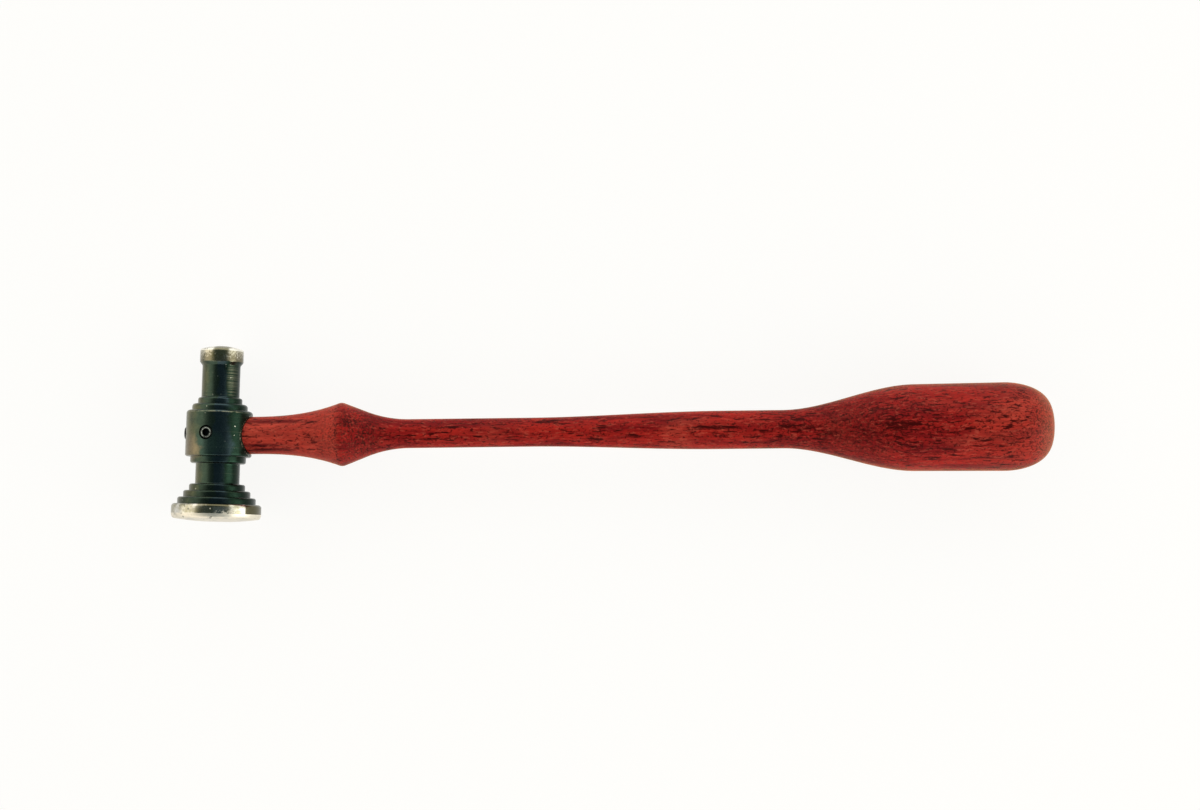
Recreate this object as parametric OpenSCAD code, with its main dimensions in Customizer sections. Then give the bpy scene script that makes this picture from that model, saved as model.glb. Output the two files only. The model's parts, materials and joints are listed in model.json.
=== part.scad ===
// Engraving hammer: a small turned steel head with a crowned striking face and a peen,
// cross-drilled for a slender turned wooden handle and held on it by two set screws.
// The hammer lies on its side on the plane z = 0. The handle runs along +X and the peen
// points along +Y. The origin is under the middle of the whole hammer.

/* [Striking face] */
// Diameter of the striking face across its rim
face_d = 25.4; // [23:0.1:31]
// Width of the rim, from its back to where its front edge starts to round
rim_w = 2.75; // [2:0.05:5]
// How much the rounded edge between the rim and the face takes off the radius
face_round = 0.9; // [0.5:0.05:1.5]
// How many times longer than that the rounded edge is along the head
face_stretch = 1.65; // [1:0.05:2]
// Radius of the crowned face in its middle
face_crown_r = 83; // [50:1:150]
// Diameter of the flat left in the middle of the face
face_flat_d = 8; // [4:0.5:12]

/* [Turned head] */
// Number of stepped rings behind the striking face
ring_count = 3; // [1:1:4]
// Width of each ring
ring_w = 1.9; // [1.2:0.05:2.5]
// Diameter of the ring next to the face
ring_large_d = 22.1; // [18:0.1:22.5]
// Diameter of the ring next to the neck
ring_small_d = 15.8; // [14:0.1:17]
// Diameter of the neck between the rings and the barrel
neck_d = 12.5; // [10:0.1:13.5]
// Length of that neck
neck_w = 5.9; // [3:0.1:10]
// Diameter of the shoulders on both sides of the barrel
shoulder_d = 15.7; // [14:0.1:17]
// Width of each shoulder
shoulder_w = 1.9; // [1.2:0.05:3]
// Diameter of the barrel that holds the handle
barrel_d = 18.7; // [18:0.1:23]
// Steel on each side of the eye, if the eye were in the middle of the barrel
eye_side = 1.25; // [1:0.05:3]
// How far the eye lies off the middle of the barrel, toward the face
eye_drop = 0.55; // [0:0.05:0.75]
// How far the head leans on the handle, peen toward the butt, in degrees
head_lean = 2.1; // [0:0.1:3]

/* [Peen] */
// Diameter of the small collar above the upper shoulder
collar_step_d = 12.5; // [11.6:0.1:13.2]
// Width of that collar
collar_step_w = 1.8; // [0.8:0.05:2.5]
// Diameter of the long neck that carries the peen
peen_neck_d = 10.75; // [8:0.05:11]
// Length of the long neck
peen_neck_w = 9.25; // [6:0.05:14]
// Length over which the neck flares out to the peen
peen_flare_w = 1; // [0.4:0.05:2]
// Diameter of the peen across its rim
peen_d = 12.3; // [11.5:0.1:15]
// Width of the peen's rim
peen_w = 3.1; // [2:0.05:5]
// How much the rounded edge between the peen's rim and its face takes off the radius
peen_round = 0.45; // [0.2:0.05:0.8]
// How many times longer than that the rounded edge is along the head
peen_stretch = 1.4; // [1:0.05:2]
// Radius of the peen's crowned face in its middle
peen_crown_r = 18; // [14:1:60]
// Diameter of the flat left in the middle of the peen
peen_flat_d = 4; // [2:0.5:6]

/* [Edges] */
// Rounding of the heavy corners: the rim's back, the barrel and the upper shoulder
corner_r = 0.9; // [0.3:0.05:1.2]
// Rounding of the light corners: the rings, the lower shoulder, the collar and the peen's rim
fine_corner_r = 0.6; // [0.15:0.05:0.8]
// Fillet in the hollow where a neck meets a step
neck_fillet_r = 0.3; // [0.1:0.05:0.8]

/* [Handle] */
// Diameter of the handle where it enters the eye
tenon_d = 10.7; // [8:0.1:13]
// Diameter of the ridge in front of the fingers, if its two slopes met in a sharp edge
ridge_d = 18.5; // [13:0.1:23]
// Rounding of the ridge's edge
ridge_round = 2.5; // [0:0.1:4]
// Distance from the head's axis to the ridge
ridge_at = 35.3; // [28:0.1:45]
// Length of the taper behind the ridge, if it met the shaft in a sharp corner
ridge_taper = 13; // [8:0.1:20]
// Rounding with which that taper runs into the shaft
taper_round = 33; // [5:1:60]
// Smallest diameter of the slender shaft
shaft_d = 8.3; // [6.5:0.1:10]
// Length of the shaft between the taper and the thicker part's rise
shaft_len = 41; // [25:0.1:50]
// Diameter of the thicker part in front of the palm swell
grip_d = 11; // [9:0.1:13]
// Length over which the shaft grows to that diameter
grip_rise = 54; // [30:1:70]
// Length of the thicker part
grip_len = 18.2; // [10:0.1:30]
// Diameter where the palm swell is first full
palm_d = 24.9; // [18:0.1:29]
// Length over which the swell grows
palm_rise = 37.9; // [25:0.1:50]
// Diameter of the palm swell near the butt
butt_d = 25.4; // [18.5:0.1:30]
// Length of the full part of the palm swell
palm_len = 25.5; // [15:0.1:35]
// Length of the rounded butt
butt_len = 13.7; // [8:0.1:25]

/* [Set screws] */
// Diameter of both set screws
screw_d = 4; // [3:0.1:5]
// Width across the flats of the hexagon socket
socket_af = 2; // [1.3:0.1:2.2]
// Depth of the hexagon socket
socket_depth = 1.8; // [1:0.1:2.5]
// Turn of the side screw from straight up toward the end away from the handle, in degrees
front_screw_turn = 13.5; // [0:0.5:20]
// How far the end of the side screw lies below the barrel
front_screw_sink = 0.25; // [0:0.05:0.6]
// How far the tip of the side screw bites into the tenon
front_screw_bite = 0.95; // [0.5:0.05:1.5]
// How far the other screw stands out of the barrel
end_screw_proud = 0.3; // [0:0.05:0.8]
// How far the tip of that screw bites into the end of the tenon
end_screw_bite = 1.5; // [0.5:0.05:2]

/* [Fits] */
// Gap all round between the tenon and the eye
tenon_gap = 0.04; // [0.02:0.01:0.1]
// Gap all round between a screw and its hole
screw_gap = 0.04; // [0.02:0.01:0.1]
// Steel left between the bottom of the eye and the outside of the barrel
eye_wall = 4.2; // [3:0.1:5]
// Gap between the end of the tenon and the bottom of the eye
eye_end_gap = 0.3; // [0.1:0.05:0.6]
// Width of the relief round the mouth of the eye
eye_relief_w = 0.6; // [0.3:0.05:0.9]
// Depth of that relief below the barrel's surface
eye_relief_depth = 0.15; // [0.1:0.05:0.8]

/* [Hidden] */
$fn = 96;

steel = [0.16, 0.19, 0.17];
padauk = [0.55, 0.13, 0.11];
screw_steel = [0.24, 0.25, 0.26];

// Steps per rounded corner and crowned face of the head, and per rounding and curve of the handle
corner_steps = 4;
crown_steps = 8;
handle_round_steps = 8;
curve_steps = 16;
// Small overlap for cuts that have to pass a surface
past = 1;

// Eye and tenon
eye_r = tenon_d / 2 + tenon_gap;
eye_floor = barrel_d / 2 - eye_wall;
tenon_end = eye_floor - eye_end_gap;

// The barrel is as wide as the tenon needs, and its lower corner stays clear of the eye
barrel_w = tenon_d + 2 * eye_side;
eye_clear = 0.05;
barrel_low_corner_r = min(corner_r, barrel_w / 2 - eye_drop - eye_r - eye_clear);

// Places along the head's axis, from the middle of the eye, peen upward
barrel_mid = eye_drop;
barrel_top = barrel_mid + barrel_w / 2;
barrel_bottom = barrel_mid - barrel_w / 2;
lower_shoulder_end = barrel_bottom - shoulder_w;
rings_start = lower_shoulder_end - neck_w;
rim_back = rings_start - ring_count * ring_w;
rim_front = rim_back - rim_w;
upper_shoulder_end = barrel_top + shoulder_w;
collar_step_end = upper_shoulder_end + collar_step_w;
peen_neck_end = collar_step_end + peen_neck_w;
peen_back = peen_neck_end + peen_flare_w;
peen_front = peen_back + peen_w;

// Half section of a crowned end as [radius, height above the rim's end], from the middle out.
// It is a flattened ball that rolls over into the rim, drawn out along the axis by stretch
function crown_section(rim_r, edge_r, stretch, crown_r, flat_r) =
  let (
    ball_r = crown_r * stretch,
    lean = asin((rim_r - edge_r) / (ball_r - edge_r)),
    flat_lean = asin(flat_r / ball_r),
    drop = (ball_r - edge_r) * cos(lean)
  )
  concat(
    [[0, (ball_r * cos(flat_lean) - drop) * stretch]],
    [for (i = [0:crown_steps]) let (a = flat_lean + (lean - flat_lean) * i / crown_steps)
      [ball_r * sin(a), (ball_r * cos(a) - drop) * stretch]],
    [for (i = [1:crown_steps]) let (a = lean + (90 - lean) * i / crown_steps)
      [rim_r - edge_r + edge_r * sin(a), edge_r * cos(a) * stretch]]
  );

face_crown = crown_section(face_d / 2, face_round, face_stretch, face_crown_r, face_flat_d / 2);
peen_crown = crown_section(peen_d / 2, peen_round, peen_stretch, peen_crown_r, peen_flat_d / 2);

// A turned line is a list of [radius, height, rounding]
function place(p) = [p.x, p.y];

// How much of the line from p to q the rounding of p may use, shared with the rounding of q
function share(p, q) = norm(place(q) - place(p)) * p.z / (p.z + q.z);

// The corner b between a and c as points, rounded as far as the lines beside it allow
function corner(a, b, c, steps) =
  let (
    to_a = place(a) - place(b),
    to_c = place(c) - place(b),
    u = to_a / norm(to_a),
    v = to_c / norm(to_c),
    half = acos(u * v) / 2,
    r = min(b.z, tan(half) * min(share(b, a), share(b, c))),
    centre = place(b) + (u + v) / norm(u + v) * r / sin(half),
    from = place(b) + u * r / tan(half) - centre,
    swing = sign(cross(to_c, to_a)) * (180 - 2 * half)
  )
  [for (i = [0:steps]) let (t = swing * i / steps)
    centre + [from.x * cos(t) - from.y * sin(t), from.x * sin(t) + from.y * cos(t)]];

// A turned line as points, with so many steps per rounding and its two ends kept sharp
function rounded_line(line, steps) =
  [for (i = [0:len(line) - 1])
    each i == 0 || i == len(line) - 1 || line[i].z == 0 ? [place(line[i])]
      : corner(line[i - 1], line[i], line[i + 1], steps)];

// The rings grow evenly from the neck to the face
function ring_r(i) =
  (ring_small_d + (ring_large_d - ring_small_d) * i / max(1, ring_count - 1)) / 2;

// The turned side of the head, from the striking face's rim up to the peen's rim
function head_side() = rounded_line(concat(
  [[face_d / 2, rim_front, 0],
   [face_d / 2, rim_back, corner_r]],
  [for (i = [ring_count - 1:-1:0]) each [
    [ring_r(i), rings_start - (i + 1) * ring_w, 0],
    [ring_r(i), rings_start - i * ring_w, fine_corner_r]]],
  [[neck_d / 2, rings_start, neck_fillet_r],
   [neck_d / 2, lower_shoulder_end, neck_fillet_r],
   [shoulder_d / 2, lower_shoulder_end, fine_corner_r],
   [shoulder_d / 2, barrel_bottom, 0],
   [barrel_d / 2, barrel_bottom, barrel_low_corner_r],
   [barrel_d / 2, barrel_top, corner_r],
   [shoulder_d / 2, barrel_top, 0],
   [shoulder_d / 2, upper_shoulder_end, corner_r],
   [collar_step_d / 2, upper_shoulder_end, 0],
   [collar_step_d / 2, collar_step_end, fine_corner_r],
   [peen_neck_d / 2, collar_step_end, neck_fillet_r],
   [peen_neck_d / 2, peen_neck_end, fine_corner_r],
   [peen_d / 2, peen_back, fine_corner_r],
   [peen_d / 2, peen_front, 0]]
), corner_steps);

function head_section() = concat(
  [for (p = face_crown) [p.x, rim_front - p.y]],
  head_side(),
  reverse_list([for (p = peen_crown) [p.x, peen_front + p.y]])
);

function reverse_list(l) = [for (i = [len(l) - 1:-1:0]) l[i]];

// Points that lie closer together than this count as one
same_point = 0.001;

function without_repeats(l) =
  [for (i = [0:len(l) - 1]) if (i == 0 || norm(l[i] - l[i - 1]) > same_point) l[i]];

// Places along the handle, from the head's axis
handle_start = barrel_d / 2;
shaft_at = ridge_at + ridge_taper;
grip_rise_at = shaft_at + shaft_len;
grip_at = grip_rise_at + grip_rise;
palm_rise_at = grip_at + grip_len;
palm_at = palm_rise_at + palm_rise;
butt_at = palm_at + palm_len;
handle_end = butt_at + butt_len;

// How late the handle flares out in front of the ridge
flare_power = 2.6;
// Roundness of the butt along the handle and across it: 2 is an ellipse, more is fuller
butt_power_along = 1.9;
butt_power_across = 3.4;

// Smooth step from 0 to 1, level at both ends
function ease(t) = t * t * (3 - 2 * t);
function between(a, b, t) = a + (b - a) * t;

// Half section of the handle as [radius, distance from the head's axis, rounding]
function handle_line() = concat(
  [[0, -tenon_end, 0], [tenon_d / 2, -tenon_end, 0]],
  [for (i = [0:curve_steps - 1]) let (t = i / curve_steps)
    [between(tenon_d, ridge_d, pow(t, flare_power)) / 2, between(handle_start, ridge_at, t), 0]],
  [[ridge_d / 2, ridge_at, ridge_round], [shaft_d / 2, shaft_at, taper_round]],
  [for (i = [0:curve_steps]) let (t = i / curve_steps)
    [between(shaft_d, grip_d, ease(t)) / 2, between(grip_rise_at, grip_at, t), 0]],
  [for (i = [0:curve_steps]) let (t = i / curve_steps)
    [between(grip_d, palm_d, ease(t)) / 2, between(palm_rise_at, palm_at, t), 0]],
  [for (i = [0:curve_steps - 1]) let (a = 90 * i / curve_steps)
    [butt_d / 2 * pow(cos(a), 2 / butt_power_across),
     butt_at + butt_len * pow(sin(a), 2 / butt_power_along), 0]],
  [[0, handle_end, 0]]
);

// How the hammer lies: the rim's back touches the bench, and so do the palm swell and either the
// barrel's upper corner or the peen's edge, whichever comes down first. So the head's axis dips
// toward its peen. Each corner is held as [radius, height, rounding] of its rounding's middle
rim_corner_r = min(corner_r, rim_w, face_d / 2 - ring_r(ring_count - 1));
rim_corner = [face_d / 2 - rim_corner_r, rim_back - rim_corner_r, rim_corner_r];
barrel_corner_r = min(corner_r, (barrel_d - shoulder_d) / 2);
barrel_corner = [barrel_d / 2 - barrel_corner_r, barrel_top - barrel_corner_r, barrel_corner_r];
peen_corner = [peen_d / 2 - peen_round, peen_front, peen_round];
function dip_on(corner) =
  atan2(rim_corner.x - corner.x, corner.y - rim_corner.y)
  + asin((rim_corner.z - corner.z) / norm(place(corner) - place(rim_corner)));
head_dip = min(dip_on(barrel_corner), dip_on(peen_corner));
eye_height = rim_corner.x * cos(head_dip) + rim_corner.y * sin(head_dip) + rim_corner.z;

// Pitch at which a round of radius r, this far along the handle, touches the bench
function pitch_on(r, at) = acos(eye_height / norm([r, at])) - atan2(at, r);
rest_pitch = max(pitch_on(palm_d / 2, palm_at), pitch_on(butt_d / 2, butt_at));
// Roll about the handle that gives the head's axis its dip, on top of lean and pitch
rest_roll = asin((sin(head_dip) + sin(head_lean) * sin(rest_pitch))
  / (cos(head_lean) * cos(rest_pitch)));

// Middle of the hammer's footprint, seen from the eye, as the head reaches over the bench
foot_x = (handle_end * cos(rest_pitch) - face_d / 2 + rim_front * sin(head_lean)) / 2;
peen_reach = max([for (p = head_section()) p.x * sin(head_dip) + p.y * cos(head_dip)]);
face_reach = max([for (p = head_section()) p.x * sin(head_dip) - p.y * cos(head_dip)]);
foot_y = (peen_reach - face_reach) / 2;

module lay_down() {
  translate([-foot_x, -foot_y, eye_height])
    rotate([0, -rest_pitch, 0])
      rotate([-rest_roll, 0, 0])
        children();
}

// The head's own axes: leaned on the handle, with the turning axis along Y
module on_head() {
  lay_down()
    rotate([0, 0, -head_lean])
      children();
}

// A round bar along the handle, from one distance to another
module along_handle(from, to, r) {
  translate([from, 0, 0])
    rotate([0, 90, 0])
      cylinder(h = to - from, r = r);
}

module eye_bore() {
  lay_down()
    along_handle(-eye_floor, barrel_d, eye_r);
}

// A shallow relief that follows the barrel round the mouth of the eye
module eye_relief() {
  intersection() {
    lay_down()
      along_handle(0, barrel_d, eye_r + eye_relief_w);
    on_head()
      rotate([-90, 0, 0])
        difference() {
          translate([0, 0, barrel_bottom - past])
            cylinder(h = barrel_w + 2 * past, r = barrel_d);
          translate([0, 0, barrel_bottom - 2 * past])
            cylinder(h = barrel_w + 4 * past, r = barrel_d / 2 - eye_relief_depth);
        }
  }
}

// Each screw lies on a line through the head's axis at the middle of the barrel, pointing out
module front_screw_line() {
  on_head()
    translate([0, barrel_mid, 0])
      rotate([0, -front_screw_turn, 0])
        children();
}

module end_screw_line() {
  on_head()
    translate([0, barrel_mid, 0])
      rotate([0, -90, 0])
        children();
}

// Both screws are as long as their bite into the tenon needs
front_screw_top = barrel_d / 2 - front_screw_sink;
front_screw_tip = tenon_d / 2 - front_screw_bite;
end_screw_top = barrel_d / 2 + end_screw_proud;
end_screw_tip = tenon_end - end_screw_bite;

// Straight hole for a screw, from a little short of its tip out past the barrel
module screw_hole(tip) {
  translate([0, 0, tip - screw_gap])
    cylinder(h = barrel_d / 2 + past - tip + screw_gap, r = screw_d / 2 + screw_gap);
}

module head() {
  color(steel)
    difference() {
      on_head()
        rotate([-90, 0, 0])
          rotate_extrude()
            polygon(without_repeats(head_section()));
      eye_bore();
      eye_relief();
      front_screw_line()
        screw_hole(front_screw_tip);
      end_screw_line()
        screw_hole(end_screw_tip);
    }
}

module handle() {
  color(padauk)
    difference() {
      lay_down()
        rotate([0, 90, 0])
          rotate_extrude()
            polygon(without_repeats(rounded_line(handle_line(), handle_round_steps)));
      front_screw_line()
        screw_hole(front_screw_tip);
      end_screw_line()
        screw_hole(end_screw_tip);
    }
}

// Hexagon socket that opens upward from its floor, with the cone that its drill left below
drill_r = 0.45 * socket_af;
drill_cone_h = drill_r * tan(30);
module socket() {
  cylinder(h = socket_depth + past, r = socket_af / 2 / cos(30), $fn = 6);
  translate([0, 0, -drill_cone_h])
    cylinder(h = drill_cone_h, r1 = 0, r2 = drill_r);
}

// Set screw from its tip up to its end, with a flat point and a bevelled end
screw_bevel = 0.4;
module set_screw(tip, top) {
  difference() {
    rotate_extrude()
      polygon([
        [0, tip],
        [screw_d / 2 - 2 * screw_bevel, tip],
        [screw_d / 2, tip + 2 * screw_bevel],
        [screw_d / 2, top - screw_bevel],
        [screw_d / 2 - screw_bevel, top],
        [0, top]
      ]);
    translate([0, 0, top - socket_depth])
      socket();
  }
}

module set_screw_front() {
  color(screw_steel)
    front_screw_line()
      set_screw(front_screw_tip, front_screw_top);
}

module set_screw_end() {
  color(screw_steel)
    end_screw_line()
      set_screw(end_screw_tip, end_screw_top);
}

head();
handle();
set_screw_front();
set_screw_end();
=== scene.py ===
import json
from math import acos, asin, atan2, cos, hypot, pi, radians, sin, sqrt, tan

import bmesh
import bpy
from mathutils import Matrix, Vector


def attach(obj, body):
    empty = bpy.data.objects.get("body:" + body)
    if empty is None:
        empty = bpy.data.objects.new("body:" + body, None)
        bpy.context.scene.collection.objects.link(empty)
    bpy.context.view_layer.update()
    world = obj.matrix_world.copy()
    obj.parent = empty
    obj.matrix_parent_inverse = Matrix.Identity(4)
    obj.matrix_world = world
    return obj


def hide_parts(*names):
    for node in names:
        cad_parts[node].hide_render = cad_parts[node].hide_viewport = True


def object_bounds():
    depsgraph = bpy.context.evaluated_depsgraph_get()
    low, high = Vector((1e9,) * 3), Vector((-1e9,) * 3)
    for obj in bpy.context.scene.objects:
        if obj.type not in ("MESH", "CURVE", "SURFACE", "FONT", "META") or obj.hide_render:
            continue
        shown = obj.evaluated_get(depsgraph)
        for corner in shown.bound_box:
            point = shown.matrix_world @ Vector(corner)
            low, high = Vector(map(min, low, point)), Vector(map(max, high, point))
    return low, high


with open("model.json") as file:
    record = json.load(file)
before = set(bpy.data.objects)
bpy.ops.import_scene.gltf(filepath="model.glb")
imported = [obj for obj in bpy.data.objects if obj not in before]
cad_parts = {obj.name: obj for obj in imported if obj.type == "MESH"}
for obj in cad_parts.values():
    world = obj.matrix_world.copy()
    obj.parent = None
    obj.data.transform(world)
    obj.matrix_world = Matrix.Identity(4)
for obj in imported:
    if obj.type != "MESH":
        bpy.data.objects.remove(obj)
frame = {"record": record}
cad_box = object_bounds()

# Where the hammer lies. The head's turning axis runs through its two faces, and the handle's
# axis crosses it in the middle of the eye. Sizes below are in millimetres, places in metres.
MM = 0.001
mounts = {m["name"]: m for m in frame["record"]["mounts"]}
face_middle = Vector(mounts["striking_face"]["pos_m"])
peen_middle = Vector(mounts["peen_face"]["pos_m"])
handle_way = Vector(mounts["shaft"]["axis"]).normalized()
head_up = (peen_middle - face_middle).normalized()
head_side_way = (handle_way - handle_way.dot(head_up) * head_up).normalized()
head_down_way = head_up.cross(head_side_way)

# The head is one piece of steel, turned from the bar with a wide striking face, three stepped
# rings, a barrel for the handle and a small peen. It is drilled across for the handle and
# tapped for two set screws, then blackened all over, and its two faces are polished bright.
FACE_D = 25.4
RIM_W = 2.75
FACE_ROUND = 0.9
FACE_STRETCH = 1.65
FACE_CROWN_R = 83.0
FACE_FLAT_D = 8.0
RING_COUNT = 3
RING_W = 1.9
RING_LARGE_D = 22.1
RING_SMALL_D = 15.8
NECK_D = 12.5
NECK_W = 5.9
SHOULDER_D = 15.7
SHOULDER_W = 1.9
BARREL_D = 18.7
EYE_SIDE = 1.25
EYE_DROP = 0.55
COLLAR_STEP_D = 12.5
COLLAR_STEP_W = 1.8
PEEN_NECK_D = 10.75
PEEN_NECK_W = 9.25
PEEN_FLARE_W = 1.0
PEEN_D = 12.3
PEEN_W = 3.1
PEEN_ROUND = 0.45
PEEN_STRETCH = 1.4
PEEN_CROWN_R = 18.0
PEEN_FLAT_D = 4.0
CORNER_R = 0.9
FINE_CORNER_R = 0.6
NECK_FILLET_R = 0.3
TENON_D = 10.7
TENON_GAP = 0.04
EYE_WALL = 4.2
EYE_CLEAR = 0.05
EYE_RELIEF_W = 0.6
EYE_RELIEF_DEPTH = 0.15
HEAD_SIDES = 256
STEP = 0.5

eye_r = TENON_D / 2 + TENON_GAP
eye_floor = BARREL_D / 2 - EYE_WALL
barrel_half = TENON_D / 2 + EYE_SIDE
barrel_top = EYE_DROP + barrel_half
barrel_bottom = EYE_DROP - barrel_half
low_corner_r = min(CORNER_R, barrel_half - EYE_DROP - eye_r - EYE_CLEAR)
shoulder_end = barrel_bottom - SHOULDER_W
rings_start = shoulder_end - NECK_W
rim_back = rings_start - RING_COUNT * RING_W
rim_front = rim_back - RIM_W
upper_shoulder_end = barrel_top + SHOULDER_W
collar_end = upper_shoulder_end + COLLAR_STEP_W
peen_neck_end = collar_end + PEEN_NECK_W
peen_back = peen_neck_end + PEEN_FLARE_W
peen_front = peen_back + PEEN_W


def crowned(rim_r, edge_r, stretch, ball_r, flat_r, steps=40, edge_steps=12):
    """Half section of a crowned end, as (radius, height above the rim's end), from the middle out."""
    ball_r *= stretch
    lean = asin((rim_r - edge_r) / (ball_r - edge_r))
    flat_lean = asin(flat_r / ball_r)
    drop = (ball_r - edge_r) * cos(lean)
    crown = [flat_lean + (lean - flat_lean) * i / steps for i in range(steps + 1)]
    turn = [lean + (pi / 2 - lean) * i / edge_steps for i in range(1, edge_steps + 1)]
    return ([(0, (ball_r * cos(flat_lean) - drop) * stretch)]
            + [(ball_r * sin(a), (ball_r * cos(a) - drop) * stretch) for a in crown]
            + [(rim_r - edge_r + edge_r * sin(a), edge_r * cos(a) * stretch) for a in turn])


def share(here, there):
    """How much of the line between two corners the rounding of the first may use."""
    return hypot(there[0] - here[0], there[1] - here[1]) * here[2] / (here[2] + there[2])


def rounded(corners, steps=8):
    """A line of (radius, height, rounding), with each corner rounded as far as its lines allow."""
    line = [corners[0][:2]]
    for before, here, after in zip(corners, corners[1:], corners[2:]):
        b = Vector(here[:2])
        if here[2] == 0:
            line.append(tuple(b))
            continue
        u = (Vector(before[:2]) - b).normalized()
        v = (Vector(after[:2]) - b).normalized()
        half = acos(max(-1, min(1, u.dot(v)))) / 2
        r = min(here[2], tan(half) * min(share(here, before), share(here, after)))
        middle = b + (u + v).normalized() * r / sin(half)
        start = b + u * r / tan(half) - middle
        swing = (pi - 2 * half) * (1 if v.cross(u) > 0 else -1)
        for i in range(steps + 1):
            a = swing * i / steps
            line.append((middle.x + start.x * cos(a) - start.y * sin(a),
                         middle.y + start.x * sin(a) + start.y * cos(a)))
    line.append(corners[-1][:2])
    return line


def divided(line, step=STEP):
    """The same line with no stretch longer than the step."""
    out = [line[0]]
    for (r0, z0), (r1, z1) in zip(line, line[1:]):
        parts = max(1, int(hypot(r1 - r0, z1 - z0) / step + 0.999))
        out += [(r0 + (r1 - r0) * i / parts, z0 + (z1 - z0) * i / parts) for i in range(1, parts + 1)]
    return out


def turned(name, outline, sides):
    """A closed solid turned from an outline of (radius, height), round its own Z axis."""
    work = bmesh.new()
    rings = []
    for r, z in outline:
        if r < 1e-6:
            rings.append([work.verts.new((0, 0, z * MM))])
        else:
            rings.append([work.verts.new((r * MM * cos(2 * pi * i / sides), r * MM * sin(2 * pi * i / sides), z * MM))
                          for i in range(sides)])
    for low, high in zip(rings, rings[1:]):
        for i in range(sides):
            j = (i + 1) % sides
            if len(low) == 1:
                work.faces.new((low[0], high[j], high[i]))
            elif len(high) == 1:
                work.faces.new((low[i], low[j], high[0]))
            else:
                work.faces.new((low[i], low[j], high[j], high[i]))
    bmesh.ops.recalc_face_normals(work, faces=work.faces)
    mesh = bpy.data.meshes.new(name)
    work.to_mesh(mesh)
    work.free()
    piece = bpy.data.objects.new(name, mesh)
    bpy.context.scene.collection.objects.link(piece)
    return piece


def placed(middle, x_way, z_way):
    """The place of a piece whose own Z axis points along z_way and whose X axis lies toward x_way."""
    z = z_way.normalized()
    y = z.cross(x_way).normalized()
    x = y.cross(z)
    place = Matrix((x, y, z)).transposed().to_4x4()
    place.translation = middle
    return place


def cut_away(piece, tools):
    """Cut each tool out of the piece for good."""
    for tool in tools:
        cut = piece.modifiers.new("cut", "BOOLEAN")
        cut.object = tool
        cut.operation = "DIFFERENCE"
        cut.solver = "EXACT"
    bpy.context.view_layer.update()
    shaped = bpy.data.meshes.new_from_object(piece.evaluated_get(bpy.context.evaluated_depsgraph_get()))
    piece.modifiers.clear()
    piece.data = shaped
    for tool in tools:
        bpy.data.objects.remove(tool)


def settled(piece):
    """Put the piece's place into its mesh, and give back that place for its material."""
    place = piece.matrix_world.copy()
    piece.data.transform(place)
    piece.matrix_world = Matrix.Identity(4)
    return place


def smoothed(piece, angle=35):
    """Smooth shading that keeps edges sharper than the angle."""
    piece.data.shade_smooth()
    piece.data.set_sharp_from_angle(angle=radians(angle))


def ring_r(i):
    return (RING_SMALL_D + (RING_LARGE_D - RING_SMALL_D) * i / (RING_COUNT - 1)) / 2


ring_corners = []
for ring in reversed(range(RING_COUNT)):
    ring_corners.append((ring_r(ring), rings_start - (ring + 1) * RING_W, 0))
    ring_corners.append((ring_r(ring), rings_start - ring * RING_W, FINE_CORNER_R))
side_line = rounded([
    (FACE_D / 2, rim_front, 0),
    (FACE_D / 2, rim_back, CORNER_R),
    *ring_corners,
    (NECK_D / 2, rings_start, NECK_FILLET_R),
    (NECK_D / 2, shoulder_end, NECK_FILLET_R),
    (SHOULDER_D / 2, shoulder_end, FINE_CORNER_R),
    (SHOULDER_D / 2, barrel_bottom, 0),
    (BARREL_D / 2, barrel_bottom, low_corner_r),
    (BARREL_D / 2, barrel_top, CORNER_R),
    (SHOULDER_D / 2, barrel_top, 0),
    (SHOULDER_D / 2, upper_shoulder_end, CORNER_R),
    (COLLAR_STEP_D / 2, upper_shoulder_end, 0),
    (COLLAR_STEP_D / 2, collar_end, FINE_CORNER_R),
    (PEEN_NECK_D / 2, collar_end, NECK_FILLET_R),
    (PEEN_NECK_D / 2, peen_neck_end, FINE_CORNER_R),
    (PEEN_D / 2, peen_back, FINE_CORNER_R),
    (PEEN_D / 2, peen_front, 0),
])
face_crown = crowned(FACE_D / 2, FACE_ROUND, FACE_STRETCH, FACE_CROWN_R, FACE_FLAT_D / 2)
peen_crown = crowned(PEEN_D / 2, PEEN_ROUND, PEEN_STRETCH, PEEN_CROWN_R, PEEN_FLAT_D / 2)
face_line = [(r, rim_front - z) for r, z in face_crown]
peen_line = [(r, peen_front + z) for r, z in reversed(peen_crown)]
head_outline = face_line + side_line[1:] + peen_line[1:]
head = turned("head_blackened", divided(head_outline), HEAD_SIDES)

eye_middle = face_middle + head_up * (face_crown[0][1] - rim_front) * MM
head_place = placed(eye_middle, head_side_way, head_up)
head.matrix_world = head_place


def bar(name, radius, start, end, middle, way, sides=128):
    """A round bar along a way, from one distance to another."""
    piece = turned(name, [(0, start), (radius, start), (radius, end), (0, end)], sides)
    piece.matrix_world = placed(middle, head_up, way)
    return piece


SCREW_D = 4.0
SCREW_GAP = 0.04
FRONT_SCREW_TURN = 13.5
FRONT_SCREW_SINK = 0.25
FRONT_SCREW_BITE = 0.95
END_SCREW_PROUD = 0.3
END_SCREW_BITE = 1.5
EYE_END_GAP = 0.3
tenon_end = eye_floor - EYE_END_GAP
screws_middle = eye_middle + head_up * EYE_DROP * MM
front_way = -head_down_way * cos(radians(FRONT_SCREW_TURN)) - head_side_way * sin(radians(FRONT_SCREW_TURN))
end_way = -head_side_way
front_top = BARREL_D / 2 - FRONT_SCREW_SINK
front_tip = TENON_D / 2 - FRONT_SCREW_BITE
end_top = BARREL_D / 2 + END_SCREW_PROUD
end_tip = tenon_end - END_SCREW_BITE


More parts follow.
